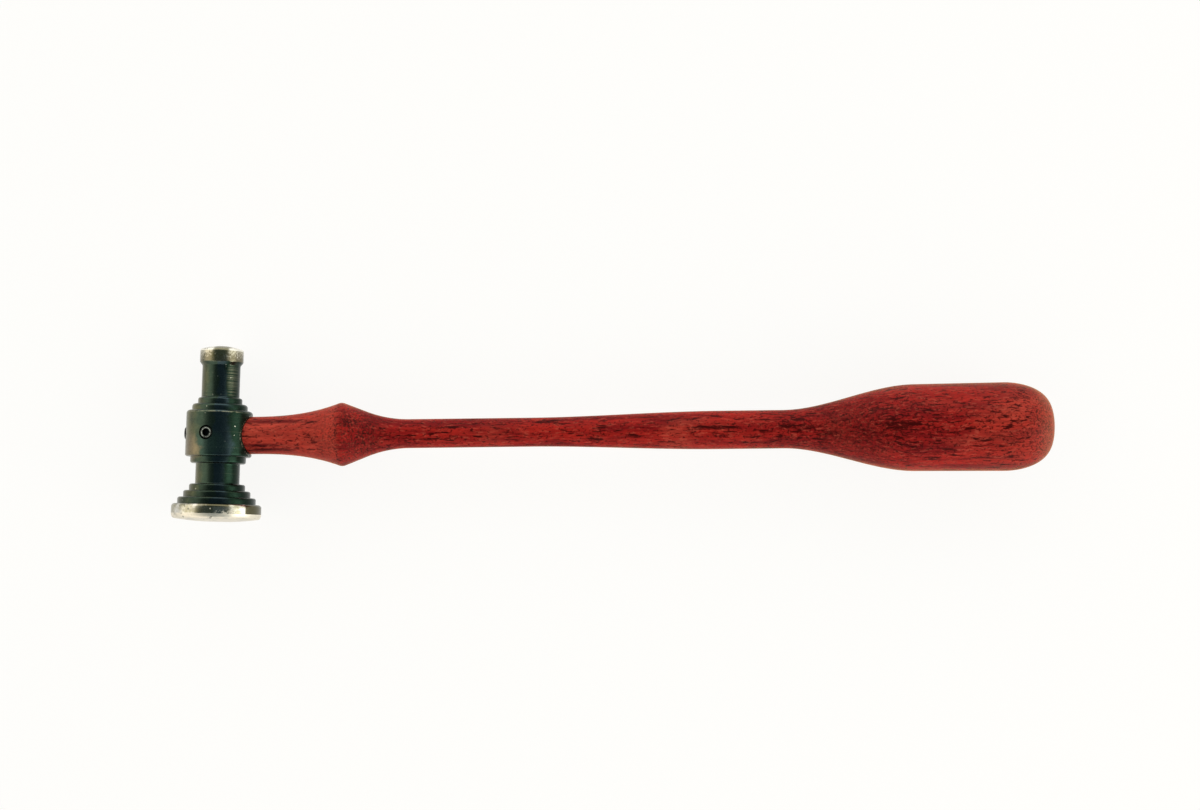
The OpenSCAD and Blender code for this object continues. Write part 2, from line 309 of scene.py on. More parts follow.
def screw_hole(name, tip, way):
    return bar(name, SCREW_D / 2 + SCREW_GAP, tip - SCREW_GAP, BARREL_D / 2 + 1, screws_middle, way)


relief = bar("relief", eye_r + EYE_RELIEF_W, 0, BARREL_D, eye_middle, handle_way)
core = turned("core", [(0, barrel_bottom - 2), (BARREL_D / 2 - EYE_RELIEF_DEPTH, barrel_bottom - 2),
                       (BARREL_D / 2 - EYE_RELIEF_DEPTH, barrel_top + 2), (0, barrel_top + 2)], HEAD_SIDES)
core.matrix_world = head_place
cut_away(relief, [core])
cut_away(head, [
    bar("eye", eye_r, -eye_floor, BARREL_D, eye_middle, handle_way),
    relief,
    screw_hole("front_hole", front_tip, front_way),
    screw_hole("end_hole", end_tip, end_way),
])
smoothed(head)
settled(head)


def group(name, inputs, outputs):
    """An empty shader group with named inputs as (name, kind, default) and named outputs."""
    tree = bpy.data.node_groups.new(name, "ShaderNodeTree")
    for label, kind, start in inputs:
        socket = tree.interface.new_socket(label, in_out="INPUT", socket_type=kind)
        socket.default_value = start
    for label, kind in outputs:
        tree.interface.new_socket(label, in_out="OUTPUT", socket_type=kind)
    return tree, tree.nodes.new("NodeGroupInput"), tree.nodes.new("NodeGroupOutput")


def node(tree, kind, links=(), **settings):
    """A node with its settings, and with each (input, source) linked or set."""
    made = tree.nodes.new(kind)
    for key, value in settings.items():
        setattr(made, key, value)
    for key, source in links:
        if isinstance(source, bpy.types.NodeSocket):
            tree.links.new(source, made.inputs[key])
        else:
            made.inputs[key].default_value = source
    return made


def math(tree, operation, a, b=0.0, clamp=False):
    return node(tree, "ShaderNodeMath", [(0, a), (1, b)], operation=operation, use_clamp=clamp).outputs[0]


def blended(tree, share, low, high):
    """Mix two colours by a share from 0 to 1."""
    made = node(tree, "ShaderNodeMix", data_type="RGBA")
    for key, source in ((0, share), (6, low), (7, high)):
        if isinstance(source, bpy.types.NodeSocket):
            tree.links.new(source, made.inputs[key])
        else:
            made.inputs[key].default_value = source
    return made.outputs[2]


def stepped(tree, value, low, high):
    """0 below low, 1 above high, smooth between."""
    made = node(tree, "ShaderNodeMapRange", [("Value", value), ("From Min", low), ("From Max", high)],
                interpolation_type="SMOOTHSTEP")
    return made.outputs[0]


def noise(tree, where, scale, detail=2.0, rough=0.5, kind="3D"):
    made = node(tree, "ShaderNodeTexNoise", [("Scale", scale), ("Detail", detail), ("Roughness", rough)],
                noise_dimensions=kind)
    tree.links.new(where, made.inputs["W" if kind == "1D" else "Vector"])
    return made.outputs[0]


# Where a point lies on a turned piece, from its place along the piece's own axes: millimetres
# out from the Z axis, millimetres along it, and how far round it lies toward X and toward Y,
# from -1 to 1.
turned_place, given, made = group("turned_place", [("Vector", "NodeSocketVector", (0, 0, 0))],
                                  [("Radius", "NodeSocketFloat"), ("Axial", "NodeSocketFloat"),
                                   ("Toward", "NodeSocketFloat"), ("Aside", "NodeSocketFloat")])
split = node(turned_place, "ShaderNodeSeparateXYZ", [(0, given.outputs["Vector"])])
radius = math(turned_place, "SQRT", math(turned_place, "ADD", math(turned_place, "POWER", split.outputs[0], 2),
                                         math(turned_place, "POWER", split.outputs[1], 2)))
turned_place.links.new(math(turned_place, "DIVIDE", radius, MM), made.inputs["Radius"])
turned_place.links.new(math(turned_place, "DIVIDE", split.outputs[2], MM), made.inputs["Axial"])
turned_place.links.new(math(turned_place, "DIVIDE", split.outputs[0], radius), made.inputs["Toward"])
turned_place.links.new(math(turned_place, "DIVIDE", split.outputs[1], radius), made.inputs["Aside"])

# Fine lines that a lathe tool leaves round a turned piece, on its sides and on its ends.
lathe_lines, given, made = group("lathe_lines", [
    ("Radius", "NodeSocketFloat", 0.0), ("Axial", "NodeSocketFloat", 0.0), ("Lines per mm", "NodeSocketFloat", 5.0)],
    [("Height", "NodeSocketFloat")])
along = math(lathe_lines, "SUBTRACT", given.outputs["Axial"], given.outputs["Radius"])
line_at = math(lathe_lines, "MULTIPLY", along, given.outputs["Lines per mm"])
lathe_lines.links.new(noise(lathe_lines, line_at, 1.0, 3.0, 0.6, "1D"), made.inputs["Height"])

# Small specks, where the surface was knocked or stained: a share of its cells holds one each.
flecks, given, made = group("flecks", [
    ("Vector", "NodeSocketVector", (0, 0, 0)), ("Scale", "NodeSocketFloat", 900.0),
    ("Share", "NodeSocketFloat", 0.2), ("Size", "NodeSocketFloat", 0.25)], [("Mask", "NodeSocketFloat")])
bent = node(flecks, "ShaderNodeTexNoise", [("Vector", given.outputs["Vector"]), ("Scale", 2500.0)])
bend = node(flecks, "ShaderNodeVectorMath", [(0, bent.outputs["Color"]), ("Scale", 0.0004)], operation="SCALE")
moved = node(flecks, "ShaderNodeVectorMath", [(0, given.outputs["Vector"]), (1, bend.outputs[0])])
cells = node(flecks, "ShaderNodeTexVoronoi", [("Vector", moved.outputs[0]), ("Scale", given.outputs["Scale"])])
pick = node(flecks, "ShaderNodeSeparateColor", [(0, cells.outputs["Color"])])
chosen = math(flecks, "LESS_THAN", pick.outputs[0], given.outputs["Share"])
reach = math(flecks, "MULTIPLY", given.outputs["Size"], math(flecks, "ADD", 0.5, pick.outputs[1]))
near = stepped(flecks, math(flecks, "SUBTRACT", reach, cells.outputs["Distance"]), 0.0, 0.08)
flecks.links.new(math(flecks, "MULTIPLY", chosen, near), made.inputs["Mask"])


def material(name):
    """A new material with its tree and its Principled shader."""
    finish = bpy.data.materials.new(name)
    finish.use_nodes = True
    return finish, finish.node_tree, finish.node_tree.nodes["Principled BSDF"]


def own_place(tree, place):
    """Where a point lies along the piece's own axes, from its place in the row frame."""
    spot = node(tree, "ShaderNodeTexCoord").outputs["Object"]
    return node(tree, "ShaderNodeMapping", [("Vector", spot), ("Location", place.translation),
                                            ("Rotation", place.to_euler())], vector_type="TEXTURE").outputs[0]


def use(tree, shared, links):
    made = node(tree, "ShaderNodeGroup", node_tree=shared)
    for key, source in links:
        if isinstance(source, bpy.types.NodeSocket):
            tree.links.new(source, made.inputs[key])
        else:
            made.inputs[key].default_value = source
    return made


def close_to(tree, first, second, spots):
    """1 in the middle of any of the spots (first, second, half sizes), fading to 0 at its rim."""
    near = 0.0
    for first_at, second_at, first_half, second_half in spots:
        far = 0.0
        for value, middle, half in ((first, first_at, first_half), (second, second_at, second_half)):
            offset = math(tree, "DIVIDE", math(tree, "SUBTRACT", value, middle), half)
            far = math(tree, "ADD", far, math(tree, "POWER", offset, 2))
        near = math(tree, "MAXIMUM", near, math(tree, "SUBTRACT", 1.0, far, clamp=True))
    return near


# The blue-black below is partly painted reflection of the dark overhead, the deep green-black is painted shade, and
# the olive is partly painted reflection of the warm left light.
BLACKING_PAINTED_SHADE = (0.0105, 0.0235, 0.0155, 1)
BLACKING_BLUE_AND_PAINTED_REFLECTION = (0.031, 0.050, 0.057, 1)
BLACKING_LOW = (0.050, 0.090, 0.075, 1)
BLACKING_GREEN = (0.033, 0.051, 0.037, 1)
OLIVE_BLACKING_AND_PAINTED_REFLECTION = (0.150, 0.140, 0.068, 1)
BLACKING_RUBBED = (0.185, 0.148, 0.092, 1)
PALE_MARKS_AND_HIGHLIGHT = (0.30, 0.29, 0.20, 1)
SPECK_PALE = (0.42, 0.43, 0.36, 1)
STEEL_CREAM = (0.70, 0.645, 0.54, 1)
STEEL_GREY = (0.46, 0.45, 0.41, 1)
STEEL_BRIGHT = (0.63, 0.61, 0.55, 1)
STEEL_DULL = (0.30, 0.28, 0.19, 1)
# Painted dark reflection, used on the rims.
STEEL_PAINTED_DARK_REFLECTION = (0.10, 0.092, 0.052, 1)
PEEN_DULL = (0.17, 0.152, 0.100, 1)
PEEN_PALE = (0.46, 0.43, 0.34, 1)
PEEN_CROWN = (0.76, 0.74, 0.67, 1)
PIT_DARK = (0.08, 0.085, 0.06, 1)
EDGE_WEAR_AND_HIGHLIGHT_W = 0.2

blackened, tree, shader = material("blackened_steel")
here = own_place(tree, head_place)
spot = use(tree, turned_place, [("Vector", here)])
out, along, round_to = spot.outputs["Radius"], spot.outputs["Axial"], spot.outputs["Toward"]
up = math(tree, "MULTIPLY", spot.outputs["Aside"], -1.0)
marks = use(tree, lathe_lines, [("Radius", out), ("Axial", along), ("Lines per mm", 2.2)])
patches = noise(tree, here, 170.0, 4.0, 0.6)
fine = noise(tree, here, 2600.0, 2.0, 0.6)
# The blacking is blue-black on top, partly as painted reflection of the dark overhead, green beside it
# away from the handle, and deep green-black toward the handle as painted shade. It is worn olive in a
# strip along the upper side away from the handle, which is also painted reflection of the warm light on
# the left, and worn through to tan low on the barrel there.
toward = math(tree, "ADD", round_to, math(tree, "MULTIPLY", math(tree, "SUBTRACT", patches, 0.5), 0.9))
upper = stepped(tree, up, -0.1, 0.5)
# Colour by which way the surface faces: blue-black on top is partly painted reflection, deep green-black toward the
# handle is painted shade.
blacking = blended(tree, stepped(tree, toward, -0.05, 0.12), BLACKING_GREEN, BLACKING_BLUE_AND_PAINTED_REFLECTION)
blacking = blended(tree, stepped(tree, toward, 0.34, 0.56), blacking, BLACKING_PAINTED_SHADE)
low_green = close_to(tree, toward, along, [(-0.1, barrel_bottom + 3, 0.45, 5)])
low_green = math(tree, "MULTIPLY", low_green, math(tree, "MULTIPLY", upper, 0.8))
blacking = blended(tree, low_green, blacking, BLACKING_LOW)
# The olive strip is wear and painted reflection of the warm light on the left.
worn = math(tree, "MULTIPLY", math(tree, "SUBTRACT", 1.0, stepped(tree, toward, -1.1, -0.4)), upper)
blacking = blended(tree, worn, blacking, OLIVE_BLACKING_AND_PAINTED_REFLECTION)
rubbed_tan = close_to(tree, toward, along, [(-0.78, barrel_bottom + 2.5, 0.4, 5)])
rubbed_tan = math(tree, "MULTIPLY", stepped(tree, rubbed_tan, 0.0, 1.2), upper)
blacking = blended(tree, rubbed_tan, blacking, BLACKING_RUBBED)
lined = math(tree, "MULTIPLY", stepped(tree, marks.outputs["Height"], 0.6, 0.8), 0.06)
blacking = blended(tree, lined, blacking, PALE_MARKS_AND_HIGHLIGHT)
# Painted highlight: the lathe lines are lighter in a band on the peen neck's side toward the handle.
painted_lathe_highlight = close_to(tree, round_to, along, [(0.72, peen_neck_end - 4, 0.3, 6)])
painted_lathe_highlight = math(tree, "MULTIPLY", painted_lathe_highlight, stepped(tree, marks.outputs["Height"], 0.4, 0.6))
blacking = blended(tree, math(tree, "MULTIPLY", painted_lathe_highlight, 0.28), blacking, PALE_MARKS_AND_HIGHLIGHT)
mottle = math(tree, "ADD", 0.68, math(tree, "MULTIPLY", noise(tree, here, 1100.0, 4.0, 0.65), 0.64))
on_rings = math(tree, "LESS_THAN", along, rings_start - 0.05)
mottle = math(tree, "SUBTRACT", mottle, math(tree, "MULTIPLY", on_rings, 0.25))
blacking = node(tree, "ShaderNodeHueSaturation", [("Color", blacking), ("Value", mottle)]).outputs[0]
# The outer edges are worn through in places, and painted lighter there as an edge highlight
edges = [(FACE_D / 2, rim_back), *[(ring_r(i), rings_start - i * RING_W) for i in range(RING_COUNT)],
         (SHOULDER_D / 2, shoulder_end), (BARREL_D / 2, barrel_bottom), (BARREL_D / 2, barrel_top - 0.6),
         (SHOULDER_D / 2, upper_shoulder_end), (COLLAR_STEP_D / 2, collar_end), (PEEN_D / 2, peen_back)]
# Painted edge highlight as well as wear on the outer edges.
rubbed_and_highlit_edges = close_to(tree, out, along, [(r, z, 3 * EDGE_WEAR_AND_HIGHLIGHT_W, EDGE_WEAR_AND_HIGHLIGHT_W) for r, z in edges])
rubbed_and_highlit_edges = math(tree, "MULTIPLY", rubbed_and_highlit_edges, stepped(tree, noise(tree, here, 700.0, 3.0, 0.7), 0.42, 0.62))
blacking = blended(tree, math(tree, "MULTIPLY", rubbed_and_highlit_edges, 0.5), blacking, PALE_MARKS_AND_HIGHLIGHT)
eye_out = math(tree, "MULTIPLY", out, spot.outputs["Aside"])
eye_out = math(tree, "SQRT", math(tree, "ADD", math(tree, "POWER", eye_out, 2), math(tree, "POWER", along, 2)))
eye_edge = close_to(tree, eye_out, round_to, [(eye_r + EYE_RELIEF_W, 0.9, 0.3, 0.4)])
eye_edge = math(tree, "MULTIPLY", eye_edge, stepped(tree, noise(tree, here, 1600.0, 2.0, 0.6), 0.5, 0.6))
blacking = blended(tree, math(tree, "MULTIPLY", eye_edge, 0.6), blacking, SPECK_PALE)
specks = use(tree, flecks, [("Vector", here), ("Scale", 850.0), ("Share", 0.16), ("Size", 0.14)])
blacking = blended(tree, math(tree, "MULTIPLY", specks.outputs["Mask"], 0.8), blacking, SPECK_PALE)
# The two ends are ground bright, with grey clouds and pits. Their rims are painted darker on top as
# painted reflection of the dark overhead, and the face's rim is painted dark on the side that the handle
# is on as painted reflection of the table in the hammer's shadow.
pits = use(tree, flecks, [("Vector", here), ("Scale", 1250.0), ("Share", 0.6), ("Size", 0.3)])
pitting = math(tree, "SUBTRACT", noise(tree, here, 420.0), math(tree, "MULTIPLY", round_to, 0.15))
pitted = math(tree, "MULTIPLY", pits.outputs["Mask"], stepped(tree, pitting, 0.42, 0.62))
clouds = noise(tree, here, 300.0, 4.0, 0.65)
peen_side = math(tree, "GREATER_THAN", along, 0.0)
face_side = math(tree, "SUBTRACT", 1.0, peen_side)
rim = blended(tree, stepped(tree, patches, 0.4, 0.6), STEEL_BRIGHT, STEEL_DULL)
# Painted dark reflection on top of the rim.
top_of_rim = math(tree, "MULTIPLY", stepped(tree, toward, -0.3, 0.0),
                  math(tree, "SUBTRACT", 1.0, stepped(tree, round_to, 0.42, 0.5)))
rim_dark_reflection_share = math(tree, "ADD", 0.62, math(tree, "MULTIPLY", stepped(tree, along, rim_back - 1.2, rim_back - 0.5), 0.36))
rim = blended(tree, math(tree, "MULTIPLY", top_of_rim, rim_dark_reflection_share), rim, STEEL_PAINTED_DARK_REFLECTION)
# Painted reflection of the shadowed table, on the handle's side of the face rim.
rim_painted_shadow_reflection = math(tree, "MULTIPLY", stepped(tree, round_to, 0.75, 0.78), face_side)
rim = blended(tree, rim_painted_shadow_reflection, rim, STEEL_PAINTED_DARK_REFLECTION)
speckled = math(tree, "MULTIPLY", math(tree, "SUBTRACT", along, peen_front - 1.3), 0.1)
speckled = stepped(tree, math(tree, "ADD", noise(tree, here, 1900.0, 3.0, 0.7), speckled), 0.45, 0.62)
rim = blended(tree, peen_side, rim, blended(tree, speckled, PEEN_DULL, PEEN_PALE))
crown_share = math(tree, "MAXIMUM", math(tree, "LESS_THAN", along, rim_front),
                   math(tree, "GREATER_THAN", along, peen_front))
grey = math(tree, "MULTIPLY", stepped(tree, clouds, 0.45, 0.7), math(tree, "ADD", 0.2, math(tree, "MULTIPLY", face_side, 0.4)))
crown = blended(tree, grey, blended(tree, peen_side, STEEL_CREAM, PEEN_CROWN), STEEL_GREY)
bare = blended(tree, crown_share, rim, crown)
# A patch of the olive blacking colour on top of the peen is painted reflection of the dark overhead
aside_mm = math(tree, "MULTIPLY", round_to, out)
aside_mm = math(tree, "SUBTRACT", aside_mm, math(tree, "MULTIPLY", math(tree, "SUBTRACT", along, peen_front), 0.5))
peen_top_painted_dark_reflection = close_to(tree, aside_mm, along, [(0.6, peen_front, 3.0, 4)])
ragged = math(tree, "SUBTRACT", noise(tree, here, 700.0, 4.0, 0.7), 0.5)
peen_top_painted_dark_reflection = math(tree, "ADD", peen_top_painted_dark_reflection, math(tree, "MULTIPLY", ragged, 1.6))
peen_top_painted_dark_reflection = math(tree, "MULTIPLY", stepped(tree, peen_top_painted_dark_reflection, 0.1, 0.8),
                  stepped(tree, math(tree, "MULTIPLY", up, out), -0.8, 1.4))
# Painted dark reflection on the peen's top.
bare = blended(tree, math(tree, "MULTIPLY", peen_top_painted_dark_reflection, 0.9), bare, OLIVE_BLACKING_AND_PAINTED_REFLECTION)
bare = blended(tree, math(tree, "MULTIPLY", pitted, 0.8), bare, PIT_DARK)
chip_share = math(tree, "ADD", 0.12, math(tree, "MULTIPLY", peen_side, 0.08))
chips = use(tree, flecks, [("Vector", here), ("Scale", 1300.0), ("Share", chip_share), ("Size", 0.2)])
# Painted glints: cream specks near the face rim's front edge on the handle's side, where its rounding catches the
# light; the other specks are chips.
glints = close_to(tree, round_to, along, [(0.36, rim_front + 0.3, 0.26, 0.9)])
glints = math(tree, "MULTIPLY", glints, stepped(tree, noise(tree, here, 1500.0, 2.0, 0.6), 0.48, 0.56))
chips_and_painted_glints = math(tree, "MAXIMUM", chips.outputs["Mask"], glints)
bare = blended(tree, chips_and_painted_glints, bare, STEEL_CREAM)
edge = math(tree, "ADD", along, math(tree, "MULTIPLY", patches, 0.3))
face_share = math(tree, "SUBTRACT", 1.0, stepped(tree, edge, rim_back - 0.1, rim_back + 0.15))
peen_share = stepped(tree, edge, peen_back + 0.1, peen_back + 0.35)
bright_share = math(tree, "MAXIMUM", face_share, peen_share)
tree.links.new(blended(tree, bright_share, blacking, bare), shader.inputs["Base Color"])
dulled = math(tree, "MAXIMUM", math(tree, "MULTIPLY", crown_share, 0.3),
              math(tree, "MULTIPLY", chips_and_painted_glints, 0.7))
tree.links.new(math(tree, "SUBTRACT", 1.0, math(tree, "MULTIPLY", dulled, bright_share)), shader.inputs["Metallic"])


def numbers_blended(tree, share, low, high):
    """Mix two numbers by a share from 0 to 1."""
    made = node(tree, "ShaderNodeMix", data_type="FLOAT")
    for key, source in ((0, share), (2, low), (3, high)):
        if isinstance(source, bpy.types.NodeSocket):
            tree.links.new(source, made.inputs[key])
        else:
            made.inputs[key].default_value = source
    return made.outputs[0]


satin = math(tree, "ADD", 0.22, math(tree, "MULTIPLY", fine, 0.14))
ground = math(tree, "ADD", 0.14, math(tree, "MULTIPLY", fine, 0.2))
ground = numbers_blended(tree, crown_share, ground, 0.42)
tree.links.new(numbers_blended(tree, bright_share, satin, ground), shader.inputs["Roughness"])
height = math(tree, "ADD", math(tree, "MULTIPLY", marks.outputs["Height"], 0.5), math(tree, "MULTIPLY", fine, 0.3))
height = math(tree, "SUBTRACT", height, math(tree, "MULTIPLY", math(tree, "MULTIPLY", pitted, bright_share), 0.6))
surface = node(tree, "ShaderNodeBump", [("Strength", 0.2), ("Distance", 0.0001), ("Height", height)])
tree.links.new(surface.outputs[0], shader.inputs["Normal"])
head.data.materials.clear()
head.data.materials.append(blackened)
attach(head, "root")
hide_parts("head")

# Two socket set screws hold the handle. Each is a short threaded stud of blackened steel with a
# hexagon socket in its end, whose bevel is worn bright by the key. One sits in the side of
# the barrel, the other in its end, and their tips bear on the wooden tenon.
SCREW_BEVEL = 0.4
SOCKET_AF = 2.0
SOCKET_DEPTH = 1.8
THREAD_PITCH = 0.7
THREAD_DEPTH = 0.4


def set_screw(name, length, middle, way, turn):
    """A threaded stud from its tip at 0 to its end, with a hexagon socket."""
    shape = divided([(0, 0), (SCREW_D / 2 - 2 * SCREW_BEVEL, 0), (SCREW_D / 2, 2 * SCREW_BEVEL),
                     (SCREW_D / 2, length - SCREW_BEVEL), (SCREW_D / 2 - SCREW_BEVEL, length), (0, length)], 0.1)
    piece = turned(name, shape, 72)
    for corner in piece.data.vertices:
        r = hypot(corner.co.x, corner.co.y)
        a = atan2(corner.co.y, corner.co.x)
        phase = (corner.co.z / MM / THREAD_PITCH - a / (2 * pi)) % 1
        groove = SCREW_D / 2 - THREAD_DEPTH * (1 - abs(2 * phase - 1) * 1.15)
        limit = min(r, groove * MM) if 0.05 < corner.co.z / MM < length - 0.05 else r
        if r > (SCREW_D / 2 - THREAD_DEPTH - 0.3) * MM and limit < r:
            corner.co.x *= limit / r
            corner.co.y *= limit / r
    socket = turned("socket", [(0, length - SOCKET_DEPTH - 0.3), (SOCKET_AF / 2, length - SOCKET_DEPTH),
                               (SOCKET_AF / sqrt(3), length - SOCKET_DEPTH), (SOCKET_AF / sqrt(3), length + 1),
                               (0, length + 1)], 6)
    piece.matrix_world = placed(middle, head_up, way) @ Matrix.Rotation(radians(turn), 4, "Z")
    socket.matrix_world = piece.matrix_world
    cut_away(piece, [socket])
    smoothed(piece, 30)
    return piece


SCREW_BLACK = (0.03, 0.032, 0.03, 1)
SCREW_BRIGHT = (0.30, 0.33, 0.30, 1)


def screw_finish(name, place, length):
    """Blackened screw steel, with the bevel and the end worn bright round the socket."""
    finish, tree, shader = material(name)
    here = own_place(tree, place)
    spot = use(tree, turned_place, [("Vector", here)])
    marks = use(tree, lathe_lines, [("Radius", spot.outputs["Radius"]), ("Axial", spot.outputs["Axial"]),
                                    ("Lines per mm", 6.0)])
    worn = noise(tree, here, 1100.0, 3.0, 0.6)
    inner = stepped(tree, spot.outputs["Radius"], SOCKET_AF / 2 + 0.1, SOCKET_AF / 2 + 0.2)
    outer = stepped(tree, spot.outputs["Radius"], SCREW_D / 2 - 0.6, SCREW_D / 2 - 0.45)
    top_share = stepped(tree, spot.outputs["Axial"], length - 0.3, length - 0.1)
    bright = math(tree, "MULTIPLY", inner, math(tree, "SUBTRACT", 1.0, outer))
    bright = math(tree, "MULTIPLY", math(tree, "MULTIPLY", bright, top_share), stepped(tree, worn, 0.35, 0.6))
    tree.links.new(blended(tree, bright, SCREW_BLACK, SCREW_BRIGHT), shader.inputs["Base Color"])
    shader.inputs["Metallic"].default_value = 1.0
    tree.links.new(math(tree, "ADD", 0.28, math(tree, "MULTIPLY", worn, 0.2)), shader.inputs["Roughness"])
    bump = node(tree, "ShaderNodeBump", [("Strength", 0.3), ("Distance", 0.0001), ("Height", marks.outputs["Height"])])
    tree.links.new(bump.outputs[0], shader.inputs["Normal"])
    return finish


for screw_node, length, tip, way, turn in (("set_screw_front", front_top - front_tip, front_tip, front_way, 12),
                                           ("set_screw_end", end_top - end_tip, end_tip, end_way, 25)):
    screw = set_screw(screw_node + "_threaded", length, screws_middle + way * tip * MM, way, turn)
    place = settled(screw)
    screw.data.materials.clear()
    screw.data.materials.append(screw_finish(screw_node + "_steel", place, length))
    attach(screw, "root")
    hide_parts(screw_node)

# The handle is one billet of padauk, a deep red hardwood, turned between centres: a straight
# tenon, a flare to a sharp ridge, a slender springy shaft and a long palm swell with a round
# butt. It is sanded fine and oiled, so the grain's dark pores still show.
RIDGE_D = 18.5
RIDGE_ROUND = 2.5
RIDGE_AT = 35.3
RIDGE_TAPER = 13.0
TAPER_ROUND = 33.0
SHAFT_D = 8.3
SHAFT_LEN = 41.0
GRIP_D = 11.0
GRIP_RISE = 54.0
GRIP_LEN = 18.2
PALM_D = 24.9
PALM_RISE = 37.9
BUTT_D = 25.4
PALM_LEN = 25.5
BUTT_LEN = 13.7
FLARE_POWER = 2.6
BUTT_POWER_ALONG = 1.9
BUTT_POWER_ACROSS = 3.4
HANDLE_SIDES = 192
shaft_at = RIDGE_AT + RIDGE_TAPER
grip_rise_at = shaft_at + SHAFT_LEN
grip_at = grip_rise_at + GRIP_RISE
palm_rise_at = grip_at + GRIP_LEN
palm_at = palm_rise_at + PALM_RISE
butt_at = palm_at + PALM_LEN


def between(a, b, t):
    return a + (b - a) * t


def eased(t):
    return t * t * (3 - 2 * t)


def stretch(start_d, end_d, start, end, shape, steps=60):
    """Points of one stretch of the handle, whose diameter follows a shape from 0 to 1."""
    return [(between(start_d, end_d, shape(i / steps)) / 2, between(start, end, i / steps), 0)
            for i in range(steps + 1)]


def butt_point(a):
    """A point of the butt, a fuller shape than an ellipse, from its widest at 0 to its end."""
    return (BUTT_D / 2 * cos(a) ** (2 / BUTT_POWER_ACROSS), butt_at + BUTT_LEN * sin(a) ** (2 / BUTT_POWER_ALONG), 0)


# The flare stops three points short of the ridge, whose rounding takes up that length
handle_line = [
    (0, -tenon_end, 0),
    (TENON_D / 2, -tenon_end, 0),
    *stretch(TENON_D, RIDGE_D, BARREL_D / 2, RIDGE_AT, lambda t: t ** FLARE_POWER)[:-3],
    (RIDGE_D / 2, RIDGE_AT, RIDGE_ROUND),
    (SHAFT_D / 2, shaft_at, TAPER_ROUND),
    *stretch(SHAFT_D, GRIP_D, grip_rise_at, grip_at, eased),
    *stretch(GRIP_D, PALM_D, palm_rise_at, palm_at, eased),
    *[butt_point(pi / 2 * i / 60) for i in range(60)],
    (0, butt_at + BUTT_LEN, 0),
]
handle_outline = rounded(handle_line, 24)
handle = turned("handle_padauk", divided(handle_outline, 1.0), HANDLE_SIDES)
handle.matrix_world = placed(eye_middle, head_up, handle_way)
cut_away(handle, [
    screw_hole("front_seat", front_tip, front_way),
    screw_hole("end_seat", end_tip, end_way),
])
smoothed(handle, 30)
handle_place = settled(handle)

# Long-grained wood. The grain runs along Z and wanders a little, in bands, with dark pores that
# show as short dashes on the sides and as dots on end grain, pale flecks and fine fibres. Where
# the heart comes near the surface there are more pores.
grain, given, made = group("grain", [
    ("Vector", "NodeSocketVector", (0, 0, 0)), ("Heart", "NodeSocketFloat", 0.0), ("End grain", "NodeSocketFloat", 0.0)],
    [("Bands", "NodeSocketFloat"), ("Pores", "NodeSocketFloat"), ("Flecks", "NodeSocketFloat"),
     ("Fibres", "NodeSocketFloat"), ("Clouds", "NodeSocketFloat")])


def bent_aside(tree, where, scale, reach):
    """The same place moved aside across the grain, by up to half the reach either way."""
    bend = node(tree, "ShaderNodeTexNoise", [("Vector", where), ("Scale", scale), ("Detail", 2.0)])
    aside = node(tree, "ShaderNodeVectorMath", [(0, bend.outputs["Color"]), (1, (0.5, 0.5, 0.5))],
                 operation="SUBTRACT")
    aside = node(tree, "ShaderNodeVectorMath", [(0, aside.outputs[0]), (1, (reach, reach, 0))], operation="MULTIPLY")
    return node(tree, "ShaderNodeVectorMath", [(0, where), (1, aside.outputs[0])]).outputs[0]


def long_noise(tree, where, scale, squeeze, detail, rough=0.55):
    """Noise whose spots are drawn out along Z."""
    drawn = node(tree, "ShaderNodeVectorMath", [(0, where), (1, (1, 1, squeeze))], operation="MULTIPLY")
    return noise(tree, drawn.outputs[0], scale, detail, rough)


where = bent_aside(grain, given.outputs["Vector"], 38.0, 0.0030)
where = bent_aside(grain, where, 190.0, 0.0011)
more = math(grain, "MULTIPLY", given.outputs["Heart"], 0.13)
dashes = stepped(grain, math(grain, "ADD", long_noise(grain, where, 1850.0, 0.6, 3.0, 0.6), more), 0.56, 0.64)
long_pores = stepped(grain, math(grain, "ADD", long_noise(grain, where, 1500.0, 0.13, 3.0, 0.6), more), 0.57, 0.65)
end_pores = stepped(grain, math(grain, "ADD", noise(grain, given.outputs["Vector"], 1900.0, 2.0), more), 0.52, 0.62)
side_pores = math(grain, "MAXIMUM", math(grain, "MULTIPLY", dashes, 0.8), long_pores)
pores = math(grain, "ADD", math(grain, "MULTIPLY", end_pores, given.outputs["End grain"]),
             math(grain, "MULTIPLY", side_pores, math(grain, "SUBTRACT", 1.0, given.outputs["End grain"])))
grain.links.new(long_noise(grain, where, 460.0, 0.09, 4.0), made.inputs["Bands"])
grain.links.new(pores, made.inputs["Pores"])
grain.links.new(stepped(grain, long_noise(grain, where, 1500.0, 0.3, 3.0), 0.53, 0.66), made.inputs["Flecks"])
grain.links.new(long_noise(grain, where, 2600.0, 0.03, 2.0), made.inputs["Fibres"])
grain.links.new(long_noise(grain, where, 110.0, 0.4, 3.0), made.inputs["Clouds"])

RED_DEEP = (0.158, 0.005, 0.006, 1)
RED_MIDDLE = (0.312, 0.014, 0.010, 1)
RED_LIGHT = (0.450, 0.057, 0.035, 1)
FLECK_PALE = (0.450, 0.088, 0.055, 1)
PORE_DARK = (0.035, 0.001, 0.001, 1)
VEIN_RED = (0.100, 0.004, 0.005, 1)
# Tan for the butt's end: a little wear, and painted sheen.
TAN_WEAR_AND_PAINTED_SHEEN = (0.33, 0.12, 0.065, 1)
SHEEN_TAN = (1.0, 0.60, 0.16, 1)
